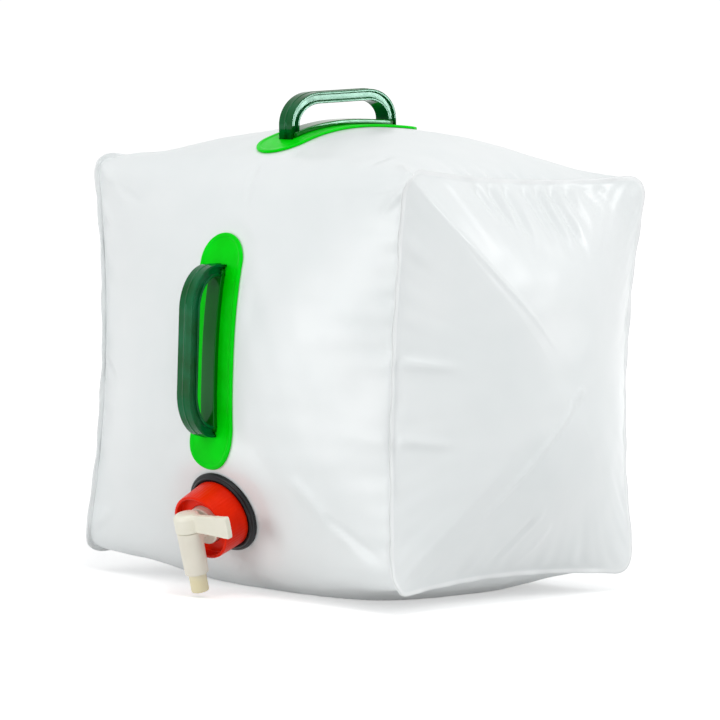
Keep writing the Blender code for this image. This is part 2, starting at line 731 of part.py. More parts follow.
def build_valve_plug(carrier):
    """Lever, stem and nozzle in one piece. A side port meets the duct when the lever points out."""
    frame = sleeve_frame()
    end = -SLEEVE_DROP - NOZZLE
    top = SLEEVE_RISE + HUB_HEIGHT
    outline = [
        (STEM_BORE_RADIUS, end),
        (STEM_RADIUS, end),
        (STEM_RADIUS, SLEEVE_RISE),
        (HUB_RADIUS, SLEEVE_RISE),
        (HUB_RADIUS, top - HUB_DOME),
        (HUB_RADIUS - HUB_DOME / 3, top - HUB_DOME / 3),
        (HUB_RADIUS - HUB_DOME, top),
        (0, top),
        (0, SLEEVE_RISE),
        (STEM_BORE_RADIUS, SLEEVE_RISE),
    ]
    plug = add_object("valve_plug", turned_mesh("valve_plug", outline), "ivory", frame, carrier)
    combine(plug, helper("lever", lever_mesh(), frame), "UNION")
    port = rod_mesh("port_drill", DUCT_RADIUS, 0, STEM_RADIUS + OVERRUN)
    aim = Matrix.Translation((0, 0, -DUCT_DROP)) @ Matrix.Rotation(-math.pi / 2, 4, "Y")
    combine(plug, helper("port_drill", port, frame @ aim), "DIFFERENCE")


def tap_carrier():
    """An empty on the tap's axis that carries what comes off with the cap."""
    carrier = bpy.data.objects.new("tap_carrier", None)
    bpy.context.scene.collection.objects.link(carrier)
    carrier.matrix_world = TAP_FRAME
    bpy.context.view_layer.update()
    return carrier


def main():
    clear_scene()
    build_body_band()
    build_side_panel("left_side_panel", -1)
    build_side_panel("right_side_panel", 1)
    upright = Vector((0, 0, 1))
    backward = Vector((0, math.cos(TOP_GRIP_TILT), math.sin(TOP_GRIP_TILT)))
    for name, film, middle, run, size in (
        ("front_handle", front_film, FRONT_HANDLE_RISE, upright, 1),
        ("top_handle", top_film, -TOP_HANDLE_ADVANCE, backward, TOP_HANDLE_SHARE),
    ):
        build_handle_plate(f"{name}_plate", film, middle, size)
        build_grip(f"{name}_grip", film, middle, run, size)
    build_neck_fitting()
    build_neck_gasket()
    build_clamp_ring()
    carrier = tap_carrier()
    build_tap_body(carrier)
    build_cap_washer(carrier)
    build_screw_cap(carrier)
    build_valve_plug(carrier)


main()
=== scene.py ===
"""Looks of the collapsible water carrier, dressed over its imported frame. Metres, +Z up.

The film, the handles and the tap's outer pieces are built here, and the neck and its seals keep
their own solids. The front panel faces -Y, and the camera looks at the edge at +X, -Y.
"""

import math

import bmesh
import bpy
import numpy as np
from mathutils import Matrix, Vector


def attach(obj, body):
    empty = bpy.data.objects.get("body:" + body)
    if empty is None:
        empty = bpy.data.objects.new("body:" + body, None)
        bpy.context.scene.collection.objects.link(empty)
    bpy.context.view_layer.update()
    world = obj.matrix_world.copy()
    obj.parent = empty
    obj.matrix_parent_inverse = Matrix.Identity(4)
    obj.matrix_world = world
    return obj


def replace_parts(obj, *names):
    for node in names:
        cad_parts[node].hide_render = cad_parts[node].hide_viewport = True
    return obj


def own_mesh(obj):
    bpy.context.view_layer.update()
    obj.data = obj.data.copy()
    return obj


WELD = "weld"  # mark on the meshes where two layers are welded
SEED = 11
MERGE_DISTANCE = 1e-6
SHORTEST = 1e-12  # keeps a vector without length from being divided by zero

# Film bag, in the sizes of its solids
GAP = 0.0003
BAG_WIDTH = 0.300
BAG_DEPTH = 0.246
BAG_HEIGHT = 0.276
CORNER_RADIUS = 0.015
FILM = 0.0005
SEAM_LIP = 0.0035
SIDE_BULGE = 0.036
FRONT_BULGE = 0.027
TOP_BULGE = 0.029
BASE_BULGE = 0.030
BASE_DROP = 0.015
SEAM_WAIST = 0.010
SEAM_PINCH = 0.004
SEAM_LIFT = 0.006
FRONT_FOLD_LIFT = 0.005
FOLD_WAIST = 0.002
FULLNESS = 2.5
FACET_SHARE = 0.65  # how far the side panels follow a low pyramid, whose edges are the X folds
FACET_FADE_SHARES = (0.0, 0.6)  # of the way from the middle to the back seam
MID_HEIGHT = BASE_DROP + BAG_HEIGHT / 2
CELL = 0.0026
SEAM_STOPS = (0.0030, 0.0014)  # distances of the last columns before a seam
LIP_STOPS = (0.0008, 0.0022, SEAM_LIP)
LIP_WAVE = 0.0004
LIP_COUNTS = (15, 34)
STRIP_HALF = 0.032  # the band's middle strip keeps its width when the bag is pressed flat
SHADE_FACING = 0.3  # least agreement of a face with the film normals that shade it

# Flat film round the tap
TAP_HEIGHT = 0.0415
TAP_INSET = 0.003
TAP_TILT = math.radians(24)
CLAMP_RADIUS = 0.0295
FLAT_MARGIN = 0.0045
FLAT_BLEND = 0.028

# Handles
PLATE_LENGTH = 0.160
PLATE_WIDTH = 0.039
PLATE_THICKNESS = 0.0018
PLATE_PANEL = 0.0012  # thickness inside the raised rim
PLATE_RIM = 0.0022
PLATE_CLEARANCE = 0.005
PLATE_EDGE_STOPS = 5
PLATE_END_STEPS = 32
TOP_HANDLE_SHARE = 0.9
TOP_HANDLE_ADVANCE = 0.033
TOP_GRIP_TILT = math.radians(3.4)
GRIP_LENGTH = 0.118
GRIP_WIDTH = 0.0125
GRIP_THICKNESS = 0.008
GRIP_STANDOFF = 0.026
GRIP_CORNER_RISE = 0.020
GRIP_CORNER_RUN = 0.027
GRIP_CORNER_STOPS = 20
GRIP_RIB = 0.0019
GRIP_CHANNEL = 0.0015
GRIP_RIDGE = 0.0004  # fine ridge along the middle of the outer face
BASE_BAR = 0.0036
SEAT_GAP = 0.0001
PLATE_SEAT = GAP + PLATE_PANEL + SEAT_GAP  # height over the film at which a grip stands
EDGE_ROUND = 0.0007
RIB_ROUND = 0.0004
ROUND_STOPS = 5
ROUND_SHARE = 0.45  # most of an edge that the rounding of one corner takes
FRONT_HANDLE_RISE = (
    TAP_HEIGHT
    - BAG_HEIGHT / 2
    + CLAMP_RADIUS * math.cos(TAP_TILT)
    + PLATE_CLEARANCE
    + PLATE_LENGTH / 2
)

# Neck, cap and tap, along the tap's axis from the film
SPOUT_LEAN = math.radians(16.5)
NECK_BORE_RADIUS = 0.0165
NECK_WALL = 0.0022
NECK_LENGTH = 0.0135
THREAD_DEPTH = 0.0012
THREAD_CLEARANCE = 0.0004
CLAMP_THICKNESS = 0.003
CLAMP_BEAD_RADIUS = 0.0262
CLAMP_BEAD_WIDTH = 0.0020
CLAMP_BEAD_HEIGHT = 0.0012
CAP_BASE_RADIUS = 0.0245
CAP_RIM_RADIUS = 0.0235
CAP_WEB = 0.0020
CAP_RIBS = 60
CAP_RIB_HEIGHT = 0.00012
CUP_DEPTH = 0.0060
CUP_WALL = 0.0021
WASHER = 0.0012
BODY_FLANGE = 0.0020
BARREL_RADIUS = 0.0135
BARREL_WALL = 0.0020
BARREL_RECESS = 0.0020
SLEEVE_TOP_RADIUS = 0.00875
SLEEVE_END_RADIUS = 0.00825
SLEEVE_BORE_RADIUS = 0.00645
SLEEVE_STANDOFF = 0.0105
SLEEVE_RISE = 0.0030
SLEEVE_DROP = 0.0275
DUCT_RADIUS = 0.003
DUCT_DROP = 0.0034
DUCT_BOSS_RADIUS = 0.0046
STEM_RADIUS = 0.00615
STEM_BORE_RADIUS = 0.0038
NOZZLE = 0.0130
HUB_RADIUS = 0.0092
HUB_HEIGHT = 0.0130
HUB_DOME = 0.0030
LEVER_REACH = 0.0400
LEVER_THICKNESS = 0.0042
LEVER_WAIST = 0.0125
LEVER_END = 0.0155
LEVER_END_ROUND = 0.0035
LEVER_STOPS = 12
LEVER_FLARE = 1.5  # power by which the blade widens along its length
OVERRUN = 0.003
SHOULDER_RADIUS = NECK_BORE_RADIUS + NECK_WALL + THREAD_DEPTH
CLAMP_FRONT = GAP + CLAMP_THICKNESS
BODY_BACK = NECK_LENGTH + GAP + WASHER + GAP
WEB_BACK = BODY_BACK + BODY_FLANGE + GAP
WEB_FRONT = WEB_BACK + CAP_WEB
CUP_RIM = WEB_FRONT + CUP_DEPTH
BARREL_FRONT = CUP_RIM - BARREL_RECESS
SLEEVE_AXIS = CUP_RIM + SLEEVE_STANDOFF
NOZZLE_TOP = 0.022  # height at which the nozzle's yellow fades out
ROUND_STEPS = 180
VOXEL = 0.0004
SMOOTH_FACTOR = 0.5
SMOOTH_PASSES = 6

# Camera
AZIMUTH = math.radians(43.11)
ELEVATION = math.radians(4.16)
ROLL = math.radians(1.71)
DISTANCE = 2.917
LENS = 205.9
SENSOR = 36
AIM_HEIGHT = 0.157
AIM_SHIFT = -0.0025

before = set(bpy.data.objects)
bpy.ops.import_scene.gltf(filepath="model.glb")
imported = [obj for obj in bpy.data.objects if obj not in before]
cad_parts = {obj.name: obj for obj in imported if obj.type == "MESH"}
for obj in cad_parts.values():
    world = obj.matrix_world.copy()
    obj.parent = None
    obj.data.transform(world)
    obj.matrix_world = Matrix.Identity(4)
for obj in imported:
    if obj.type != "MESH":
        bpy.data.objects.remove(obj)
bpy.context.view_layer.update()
rng = np.random.RandomState(SEED)


# Film shape. A film point is named by three coordinates from -1 to 1 between opposite panels:
# across (left to right), deep (front to back) and high (base to top).


def smoothstep(low, high, value):
    """0 up to low and 1 from high on, with a soft rise between."""
    share = np.clip((value - low) / (high - low), 0, 1)
    return share * share * (3 - 2 * share)


def arch(share):
    """1 in the middle and 0 at -1 and 1."""
    return 1 - share * share


def dome(a, b):
    """A full, flat-topped swell over a panel with edges at -1 and 1."""
    return (1 - np.abs(a) ** FULLNESS) * (1 - np.abs(b) ** FULLNESS)


def side_dome(deep, high):
    """The side panels' swell, mixed with a pyramid in front so that the X folds stand out."""
    pyramid = 1 - np.maximum(np.abs(deep), np.abs(high)) ** FULLNESS
    share = FACET_SHARE * (1 - smoothstep(*FACET_FADE_SHARES, deep))
    return dome(deep, high) * (1 - share) + pyramid * share


def front_lift(deep, high):
    """Rise of the top towards its front fold."""
    return FRONT_FOLD_LIFT * (1 - deep) / 2 * np.maximum(0, high)


def inflated(across, deep, high):
    """Points of the full bag, before the tap flattens its film."""
    x_waist = SEAM_WAIST * (arch(high) * deep**2 + arch(deep) * high**2)
    y_waist = SEAM_PINCH * arch(high) * across**2 + FOLD_WAIST * arch(across) * high**2
    z_waist = SEAM_LIFT * arch(deep) * across**2 + FOLD_WAIST * arch(across) * deep**2
    end_bulge = np.where(np.asarray(high) > 0, TOP_BULGE, BASE_BULGE)
    x = across * (BAG_WIDTH / 2 + SIDE_BULGE * side_dome(deep, high) - x_waist)
    y = deep * (BAG_DEPTH / 2 + FRONT_BULGE * dome(across, high) - y_waist)
    z = high * (BAG_HEIGHT / 2 + end_bulge * dome(across, deep) - z_waist) + front_lift(deep, high)
    x, y, z = np.broadcast_arrays(x, y, np.maximum(0, MID_HEIGHT + z))
    return np.stack([x, y, z], axis=-1)


def axes_matrix(x_axis, y_axis, z_axis, origin):
    rotation = Matrix((x_axis, y_axis, z_axis)).transposed().to_4x4()
    return Matrix.Translation(origin) @ rotation


def tap_frame():
    """At the tap's middle on the film: local Z points out of the bag and local Y up."""
    high = (TAP_HEIGHT - BAG_HEIGHT / 2) / (BAG_HEIGHT / 2 - FOLD_WAIST)
    outward = Vector((0, -math.cos(TAP_TILT), -math.sin(TAP_TILT)))
    upward = Vector((0, -math.sin(TAP_TILT), math.cos(TAP_TILT)))
    origin = Vector(inflated(0, -1, high)) - outward * TAP_INSET
    return axes_matrix(Vector((1, 0, 0)), upward, outward, origin)


TAP = tap_frame()
SLEEVE = (
    TAP
    @ Matrix.Translation((0, 0, SLEEVE_AXIS))
    @ Matrix.Rotation(-math.pi / 2 - (TAP_TILT - SPOUT_LEAN), 4, "X")
)


def moved(points, matrix):
    """Points carried by a matrix."""
    m = np.array(matrix)
    return points @ m[:3, :3].T + m[:3, 3]


def outside_ring(local):
    """Distance outside the flat film round the clamp ring, from places in the tap's frame."""
    return np.hypot(local[..., 0], local[..., 1]) - CLAMP_RADIUS - FLAT_MARGIN


def flattened(points):
    """The film pressed flat behind the clamp ring."""
    local = moved(points, TAP.inverted())
    share = smoothstep(0, FLAT_BLEND, outside_ring(local))
    local[..., 2] *= np.where(local[..., 2] < -FLAT_BLEND, 1, share)
    return moved(local, TAP)


def bag_points(across, deep, high):
    return flattened(inflated(across, deep, high))


def steps(start, end, cell):
    """Even stops about a cell apart, without the end."""
    count = max(1, round(abs(end - start) / cell))
    return start + (end - start) * np.arange(count) / count


def steps_to(start, end, cell):
    """Even stops about a cell apart, with the end."""
    return np.append(steps(start, end, cell), end)


def outline_stops():
    """Round the bag, seen from the side: arrays of deep, high and the outward direction."""
    half_deep = BAG_DEPTH / 2
    half_high = BAG_HEIGHT / 2
    deep = half_deep - CORNER_RADIUS
    high = half_high - CORNER_RADIUS
    stops = []
    sides = (
        ((-1, 0), [(-half_deep, z) for z in steps(-high, high, CELL)]),
        ((0, 1), [(y, half_high) for y in steps(-deep, deep, CELL)]),
        ((1, 0), [(half_deep, z) for z in steps(high, -high, CELL)]),
        ((0, -1), [(y, -half_high) for y in steps(deep, -deep, CELL)]),
    )
    for (out_y, out_z), straight in sides:
        stops += [(y, z, out_y, out_z) for y, z in straight]
        middle_y = (out_y + out_z) * deep
        middle_z = (out_z - out_y) * high
        turn = math.atan2(out_z, out_y)
        for bend in steps(0, math.pi / 2, CELL / CORNER_RADIUS):
            y, z = math.cos(turn - bend), math.sin(turn - bend)
            stops.append((middle_y + CORNER_RADIUS * y, middle_z + CORNER_RADIUS * z, y, z))
    stops = np.array(stops)
    out = np.concatenate([np.zeros((len(stops), 1)), stops[:, 2:]], axis=1)
    return stops[:, 0] / half_deep, stops[:, 1] / half_high, out


# Creases and pleats, drawn on a face of the bag: start, end, width and height of each. A
# negative height is a furrow. Each fades towards its end.
SIDE_CREASES = (
    ((-0.114, 0.286), (0.000, 0.170), 0.0018, 0.0014),
    ((0.020, 0.148), (-0.090, 0.030), 0.0026, 0.0014),
    ((-0.118, 0.169), (-0.078, 0.166), 0.0030, 0.0019),
    ((-0.118, 0.117), (-0.080, 0.114), 0.0030, 0.0017),
    ((0.002, 0.063), (-0.022, 0.028), 0.0024, 0.0012),
    ((-0.006, 0.058), (-0.034, 0.022), 0.0024, -0.0010),
    ((0.016, 0.052), (0.000, 0.022), 0.0026, 0.0010),
)
SIDE_PLEATS = (
    ((-0.052, 0.294), (-0.034, 0.257), 0.0040, -0.0034),
    ((-0.037, 0.293), (-0.023, 0.249), 0.0040, -0.0036),
    ((-0.019, 0.292), (-0.010, 0.242), 0.0041, -0.0036),
    ((0.000, 0.291), (0.012, 0.246), 0.0042, -0.0034),
    ((0.012, 0.291), (0.027, 0.236), 0.0041, -0.0038),
    ((0.026, 0.290), (0.045, 0.233), 0.0041, -0.0036),
    ((0.041, 0.290), (0.056, 0.250), 0.0040, -0.0026),
    ((0.058, 0.288), (0.079, 0.264), 0.0040, -0.0018),
    ((0.075, 0.289), (0.089, 0.266), 0.0040, -0.0013),
)
FRONT_CREASES = (
    ((0.148, 0.286), (0.126, 0.266), 0.0030, 0.0020),
    ((0.140, 0.290), (0.112, 0.281), 0.0028, -0.0014),
    ((0.072, 0.082), (0.142, 0.016), 0.0050, 0.0010),
    ((0.096, 0.060), (0.146, 0.030), 0.0030, -0.0012),
    ((0.004, 0.294), (0.013, 0.262), 0.0028, -0.0014),
    ((-0.146, 0.288), (-0.110, 0.262), 0.0036, 0.0020),
    ((-0.132, 0.276), (-0.088, 0.262), 0.0030, -0.0015),
    ((-0.144, 0.262), (-0.118, 0.240), 0.0034, 0.0015),
    ((-0.146, 0.030), (-0.112, 0.052), 0.0034, 0.0015),
    ((-0.134, 0.150), (-0.112, 0.132), 0.0032, -0.0012),
)
TOP_CREASES = (
    ((0.098, -0.086), (0.106, -0.124), 0.0028, -0.0014),
    ((0.140, -0.114), (0.112, -0.090), 0.0034, 0.0017),
    ((0.140, 0.112), (0.110, 0.088), 0.0034, 0.0017),
    ((-0.140, 0.112), (-0.106, 0.090), 0.0034, 0.0017),
    ((-0.140, -0.112), (-0.112, -0.088), 0.0034, 0.0017),
    ((0.030, 0.090), (0.064, 0.112), 0.0030, -0.0014),
)
BACK_CREASES = (
    ((0.146, 0.286), (0.108, 0.250), 0.0036, 0.0019),
    ((-0.146, 0.286), (-0.112, 0.254), 0.0036, 0.0019),
    ((0.146, 0.020), (0.104, 0.058), 0.0036, 0.0017),
    ((-0.146, 0.020), (-0.108, 0.052), 0.0036, 0.0017),
    ((0.050, 0.296), (0.036, 0.250), 0.0030, -0.0014),
    ((-0.030, 0.296), (-0.040, 0.256), 0.0030, -0.0014),
)
# Each face of the bag: its outward direction, the axes of its drawing and its creases
FACES = (
    ((1, 0, 0), (1, 2), SIDE_CREASES + SIDE_PLEATS),
    ((-1, 0, 0), (1, 2), SIDE_CREASES + SIDE_PLEATS),
    ((0, -1, 0), (0, 2), FRONT_CREASES),
    ((0, 1, 0), (0, 2), BACK_CREASES),
    ((0, 0, 1), (0, 1), TOP_CREASES),
)
CREASE_FACING = (0.25, 0.6)  # how squarely film has to face a way to take that face's creases
CREASE_FADE = (0.45, 1.0)  # share of its length over which a crease fades


def crease_relief(points, normals):
    """Height of the creases at each film point."""
    relief = np.zeros(points.shape[:-1])
    for out, plane, creases in FACES:
        facing = smoothstep(*CREASE_FACING, normals @ np.array(out, float))
        place = points[..., list(plane)]
        for start, end, width, height in creases:
            run = np.subtract(end, start)
            along = np.clip((place - start) @ run / (run @ run), 0, 1)
            gap = np.linalg.norm(place - start - along[..., None] * run, axis=-1)
            fade = 1 - smoothstep(*CREASE_FADE, along)
            relief += facing * height * fade * np.exp(-((gap / width) ** 2))
    return relief


HOLD_FACING = 0.3  # least facing of the film that a plate or the clamp ring lies on
HOLD_REACH = (0.002, 0.014)  # distances from their edges over which the film is let free


def outside_plate(across, along, size):
    """Distance outside a handle plate's outline, from places measured from its middle."""
    past = np.maximum(np.abs(along) - (size * PLATE_LENGTH - PLATE_WIDTH) / 2, 0)
    return np.hypot(across, past) - PLATE_WIDTH / 2


def free_share(points, normals):
    """0 where a plate or the clamp ring holds the film smooth, 1 where it is free to crease."""
    x, y, z = np.moveaxis(points, -1, 0)
    front = outside_plate(x, z - MID_HEIGHT - FRONT_HANDLE_RISE, 1)
    top = outside_plate(x, y + TOP_HANDLE_ADVANCE, TOP_HANDLE_SHARE)
    ring = outside_ring(moved(points, TAP.inverted()))
    nearest = np.minimum(
        np.where(normals[..., 1] < -HOLD_FACING, np.minimum(front, ring), 1),
        np.where(normals[..., 2] > HOLD_FACING, top, 1),
    )
    return smoothstep(*HOLD_REACH, nearest)


def waves(count, shortest, longest):
    """Random directions and phases of soft undulations."""
    direction = rng.normal(size=(count, 3))
    direction /= np.linalg.norm(direction, axis=1, keepdims=True)
    length = rng.uniform(shortest, longest, count)
    return direction * (2 * math.pi / length)[:, None], rng.uniform(0, 2 * math.pi, count)


# Soft undulations of the film: height, and the count and shortest and longest of the waves
SWELLS = (
    (0.0006, waves(9, 0.070, 0.150)),
    (0.00022, waves(14, 0.018, 0.045)),
)
PUCKER_HEIGHT = 0.0004
PUCKER_REACH = 0.014
PUCKER_COUNTS = (23, 37, 61)
PUCKER_SHIFT = 1 / 3  # of the way round, between the left and the right seam
SEAM_REACH = 0.006  # distances over which the relief dies out at a seam and at the ground
GROUND_REACH = 0.012


def ripples(counts, turn):
    """Sum of waves that run so many times round the bag. turn is the share of the way round."""
    return sum(np.sin(2 * math.pi * count * turn + count) for count in counts)


def film_relief(points, normals, seam_distance, turn):
    """How far the film stands off its smooth swell."""
    relief = crease_relief(points, normals)
    for swell, (directions, phases) in SWELLS:
        relief += swell * np.sin(points @ directions.T + phases).sum(-1) / math.sqrt(len(phases))
    pucker = ripples(PUCKER_COUNTS, turn)
    relief += PUCKER_HEIGHT * pucker * np.exp(-seam_distance / PUCKER_REACH)
    height = points[..., 2]
    relief *= smoothstep(0, SEAM_REACH, seam_distance) * smoothstep(0, GROUND_REACH, height)
    return relief * free_share(points, normals)


def grid_normals(points):
    """Unit normals of a grid whose rows close round the bag and whose columns run across it."""
    along = np.roll(points, -1, axis=0) - np.roll(points, 1, axis=0)
    normals = np.cross(np.gradient(points, axis=1), along)
    return normals / np.maximum(np.linalg.norm(normals, axis=-1, keepdims=True), SHORTEST)


def turn_shares(edge):
    """Share of the way round the bag at each stop of its seam."""
    length = np.linalg.norm(np.roll(edge, -1, axis=0) - edge, axis=1)
    return np.concatenate([[0], np.cumsum(length)[:-1]]) / length.sum()


def lip_rows(edge, out, turn):
    """The welded lip outside a seam, slightly wavy sideways."""
    wave = ripples(LIP_COUNTS, turn)
    rows = []
    for stop in LIP_STOPS:
        row = edge + out * stop
        row[:, 0] += LIP_WAVE * wave * stop / SEAM_LIP
        rows.append(row)
    return rows


def grid_faces(rows, columns):
    """Faces of a grid whose rows close round."""
    r, c = np.meshgrid(np.arange(rows), np.arange(columns - 1), indexing="ij")
    here, after = (r * columns + c).ravel(), (((r + 1) % rows) * columns + c).ravel()
    return np.stack([here, here + 1, after + 1, after], 1)


def rim_faces(rows, columns, column):
    """Faces between the two skins at one column."""
    here = np.arange(rows) * columns + column
    after = np.roll(here, -1)
    return np.stack([here, after, after + rows * columns, here + rows * columns], 1)


def placed(name, data):
    """A new object in the scene."""
    obj = bpy.data.objects.new(name, data)
    bpy.context.scene.collection.objects.link(obj)
    return obj


def weighted(obj):
    """Keep flat faces flat next to their rounded edges."""
    obj.modifiers.new("Weighted", "WEIGHTED_NORMAL")


def solid_object(name, vertices, faces, merge=False, weld=None):
    """A closed object with outward normals. weld is the weld mark of each vertex."""
    mesh = bpy.data.meshes.new(name)
    mesh.from_pydata(np.asarray(vertices).tolist(), [], [list(map(int, face)) for face in faces])
    if weld is not None:
        mesh.attributes.new(WELD, "FLOAT", "POINT").data.foreach_set("value", weld)
    bm = bmesh.new()
    bm.from_mesh(mesh)
    if merge:
        bmesh.ops.remove_doubles(bm, verts=bm.verts, dist=MERGE_DISTANCE)
    bmesh.ops.recalc_face_normals(bm, faces=bm.faces)
    bm.to_mesh(mesh)
    bm.free()
    mesh.shade_smooth()
    return placed(name, mesh)


def film_object(name, points, normals, welded, merge=False):
    """A film solid FILM thick under a grid of outer points. welded is 1 in a lip's columns."""
    rows, columns = points.shape[:2]
    weld = np.tile(welded, 2 * rows)
    skins = np.concatenate([points.reshape(-1, 3), (points - normals * FILM).reshape(-1, 3)])
    outer = grid_faces(rows, columns)
    faces = [outer, outer[:, ::-1] + rows * columns, rim_faces(rows, columns, columns - 1)]
    if not merge:
        faces.append(rim_faces(rows, columns, 0))
    return solid_object(name, skins, np.concatenate(faces), merge, weld)


def keep_normals(obj, outer_normals):
    """Shade both skins by the whole film's normals, so that the strips join without a line.

    Every face of a strip has four corners.
    """
    mesh = obj.data
    loops = np.empty(len(mesh.loops), np.int32)
    mesh.loops.foreach_get("vertex_index", loops)
    flat = np.empty(len(mesh.polygons) * 3)
    mesh.polygons.foreach_get("normal", flat)
    face_normals = np.repeat(flat.reshape(-1, 3), 4, axis=0)
    skin = np.concatenate([outer_normals, -outer_normals])[loops]
    aligned = (skin * face_normals).sum(axis=1) > SHADE_FACING
    mesh.normals_split_custom_set(np.where(aligned[:, None], skin, face_normals).tolist())


def band_grid():
    """Outer points of the whole band without its lips, and the columns in half a middle strip."""
    deep, high, out = outline_stops()
    half = inflated(1, deep, high)[:, 0]
    inside = steps_to(0, STRIP_HALF, CELL)
    outside = steps(0, 1, CELL / (BAG_WIDTH / 2 - STRIP_HALF))[1:]
    columns = [np.full_like(half, x) for x in inside]
    columns += [STRIP_HALF + (half - STRIP_HALF) * share for share in outside]
    columns = [x for x in columns if (x < half - SEAM_STOPS[0] - CELL / 4).all()]
    columns += [half - stop for stop in SEAM_STOPS] + [half]
    x = np.stack(columns, axis=1)
    across = np.concatenate([-x[:, :0:-1], x], axis=1) / half[:, None]
    return bag_points(across, deep[:, None], high[:, None]), out, len(inside) - 1


def build_band():
    """The band in three strips; the outer two get meshes of their own."""
    points, out, strip = band_grid()
    turn = turn_shares(points[:, -1])
    normals = grid_normals(points)
    distance = points[:, -1:, 0] - np.abs(points[..., 0])
    shifted = turn[:, None] + PUCKER_SHIFT * (points[..., 0] > 0)
    relief = film_relief(points, normals, distance, shifted)
    points = points + normals * relief[..., None]
    points[:, 0, 0] += GAP / 2 + FILM
    points[:, -1, 0] -= GAP / 2 + FILM
    left = lip_rows(points[:, 0], out, turn)[::-1]
    right = lip_rows(points[:, -1], out, turn)
    points = np.concatenate([np.stack(left, 1), points, np.stack(right, 1)], axis=1)
    normals = grid_normals(points)
    middle = points.shape[1] // 2
    welded = np.zeros(points.shape[1])
    welded[: len(left)] = welded[-len(right) :] = 1
    spans = (
        ("film_left", 0, middle - strip + 1),
        ("film_middle", middle - strip, middle + strip + 1),
        ("film_right", middle + strip, points.shape[1]),
    )
    pieces = []
    for name, first, last in spans:
        span = slice(first, last)
        obj = film_object(name, points[:, span], normals[:, span], welded[span])
        keep_normals(obj, normals[:, span].reshape(-1, 3))
        pieces.append(dressed(obj, "bag", "film", "body_band"))
    squash_film(pieces[0])
    squash_film(pieces[-1])


def squash_film(obj):
    """Give a piece of film a mesh of its own."""
    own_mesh(obj)


def side_normals(points, side):
    """Outward normals of a side panel's rings, the first of which is only its middle."""
    normals = -side * grid_normals(points)
    normals[:, 0] = (side, 0, 0)
    return normals


def build_side(name, side):
    """A side panel out to its lip, as rings round its middle."""
    deep, high, out = outline_stops()
    rings = steps(0, 1, 2 * CELL / BAG_DEPTH)
    near = 1 - np.array(SEAM_STOPS) / (BAG_DEPTH / 2)
    shares = np.concatenate([rings[rings < near[0] - CELL / BAG_DEPTH], near, [1]])
    points = bag_points(side, deep[:, None] * shares, high[:, None] * shares)
    turn = turn_shares(points[:, -1])
    normals = side_normals(points, side)
    shifted = turn[:, None] + PUCKER_SHIFT * (side > 0)
    relief = film_relief(points, normals, (1 - shares) * BAG_DEPTH / 2, shifted)
    points = points + normals * relief[..., None]
    points[..., 0] += side * (GAP / 2 + FILM)
    points = np.concatenate([points, np.stack(lip_rows(points[:, -1], out, turn), 1)], axis=1)
    normals = side_normals(points, side)
    welded = np.zeros(points.shape[1])
    welded[-len(LIP_STOPS) :] = 1
    body = "right_side" if side > 0 else "left_side"
    panel = film_object(name, points, normals, welded, True)
    obj = dressed(panel, body, "film", f"{body}_panel")
    squash_film(obj)


# Handles. A point of a handle is named by its place across and along the handle and its
# height over the film.


def front_film(across, along):
    """The film of the front panel, along measured upwards from the panel's middle."""
    share = across / (BAG_WIDTH / 2 - SEAM_WAIST * arch(along / (BAG_HEIGHT / 2)))
    fold = BAG_HEIGHT / 2 - FOLD_WAIST * arch(share) + FRONT_FOLD_LIFT * (along > 0)
    return bag_points(share, -1, along / fold)


def top_film(across, along):
    """The film of the top panel, along measured backwards from the panel's middle."""
    share = across / (BAG_WIDTH / 2 - SEAM_WAIST * arch(along / (BAG_DEPTH / 2)))
    return bag_points(share, along / (BAG_DEPTH / 2 - FOLD_WAIST * arch(share)), 1)


def over_film(film, across, along, height):
    """Points at a height over the film, square to it."""
    across, along, height = np.broadcast_arrays(across, along, height)
    run = film(across, along + CELL) - film(across, along - CELL)
    width = film(across + CELL, along) - film(across - CELL, along)
    out = np.cross(width, run)
    out /= np.linalg.norm(out, axis=-1, keepdims=True)
    return film(across, along) + out * height[..., None]


def stadium(inset, size):
    """Stops round a handle plate's outline, moved inwards: arrays of across and along."""
    straight = (size * PLATE_LENGTH - PLATE_WIDTH) / 2
    radius = PLATE_WIDTH / 2 - inset
    arc = steps(0, math.pi, math.pi / PLATE_END_STEPS)
    run = steps(-straight, straight, CELL)
    across = np.concatenate([np.full_like(run, radius), radius * np.cos(arc)])
    along = np.concatenate([run, straight + radius * np.sin(arc)])
    return np.concatenate([across, -across]), np.concatenate([along, -along])


def plate_rings():
    """Insets and heights from the middle of a plate's underside, round its rim, to its middle."""
    bend = np.linspace(0, math.pi / 2, PLATE_EDGE_STOPS)
    ease = np.linspace(0, 1, PLATE_EDGE_STOPS)
    step_down = (PLATE_THICKNESS - PLATE_PANEL) * smoothstep(0, 1, ease)
    flat = PLATE_RIM + 2 * EDGE_ROUND
    inside = steps_to(flat, PLATE_WIDTH / 2, CELL)
    under = [(inset, 0) for inset in inside[::-1]]
    edge = zip(EDGE_ROUND * (1 - np.cos(bend)), PLATE_THICKNESS - EDGE_ROUND * (1 - np.sin(bend)))
    rim = zip(PLATE_RIM + 2 * EDGE_ROUND * ease, PLATE_THICKNESS - step_down)
    over = [(inset, PLATE_PANEL) for inset in inside[1:]]
    return under + [(EDGE_ROUND / 3, 0), (0, EDGE_ROUND / 3)] + [*edge] + [*rim] + over


def build_plate(name, film, middle, size):
    """A thin plate with round ends and a raised rim, lying on the film."""
    rings = []
    for inset, height in plate_rings():
        across, along = stadium(inset, size)
        rings.append(over_film(film, across, middle + along, GAP + height))
    points = np.stack(rings, axis=1)
    obj = solid_object(
        f"{name}_shown", points.reshape(-1, 3), grid_faces(*points.shape[:2]), True
    )
    dressed(obj, "bag", "plate_green", name)


